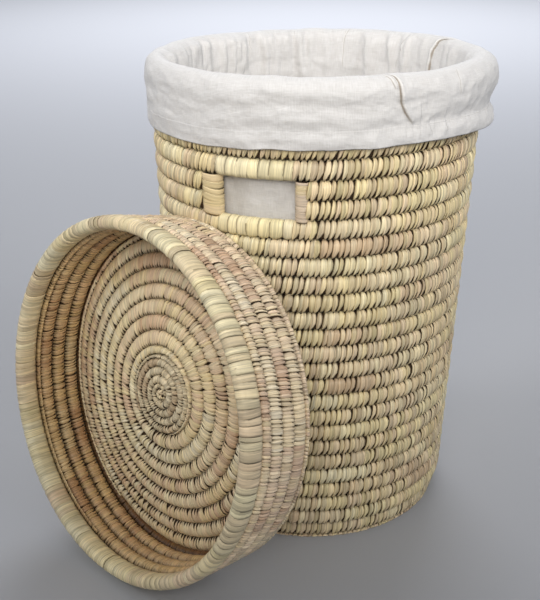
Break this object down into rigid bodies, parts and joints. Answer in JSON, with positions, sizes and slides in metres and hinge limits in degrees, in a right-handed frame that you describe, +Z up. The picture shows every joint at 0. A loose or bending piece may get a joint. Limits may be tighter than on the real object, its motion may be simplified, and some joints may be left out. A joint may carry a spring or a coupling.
{
  "type": "laundry basket",
  "caption": "Tall round coiled palm-leaf laundry basket with hand holes, a removable white cotton lining folded over its rim, and a loose shallow coiled lid leaning beside it.",
  "frame": {"origin": "the middle of the basket's underside, on the floor", "axes": "+Z up; -Y the front, where the first hand hole is; +X to the right seen from the front"},
  "size_m": [0.492, 0.5516, 0.5368],
  "materials": {
    "palm_leaf": "dry palm-leaf strip, matt",
    "smooth_leaf": "close-wrapped palm-leaf strip, slight sheen",
    "cotton": "plain-woven unbleached cotton"
  },
  "bodies": {
    "basket": {"base_knot": "palm_leaf", "base_coil": "palm_leaf", "wall_coil": "palm_leaf", "side_coil_right_lower": "palm_leaf", "side_coil_left_lower": "palm_leaf", "side_coil_right_upper": "palm_leaf", "rim_coil": "palm_leaf", "front_post_left": "smooth_leaf", "front_post_right": "smooth_leaf", "back_post_left": "smooth_leaf", "back_post_right": "smooth_leaf"},
    "liner": {"liner_bag": "cotton", "liner_base": "cotton"},
    "lid": {"lid_knot": "palm_leaf", "lid_start_coil": "palm_leaf", "lid_disc_coil": "palm_leaf", "lid_wall_coil": "palm_leaf", "lid_rim_coil": "smooth_leaf"}
  },
  "joints": [
    {"name": "liner_lift", "type": "slide", "parent": "basket", "child": "liner", "axis": [0, 0, 1], "range_m": [0, 0.6]},
    {"name": "lid_tip", "type": "hinge", "parent": "basket", "child": "lid", "pos_m": [-0.13167, -0.30427, 0], "axis": [0.9178, -0.3971, 0], "range_deg": [0, 98.9]}
  ]
}
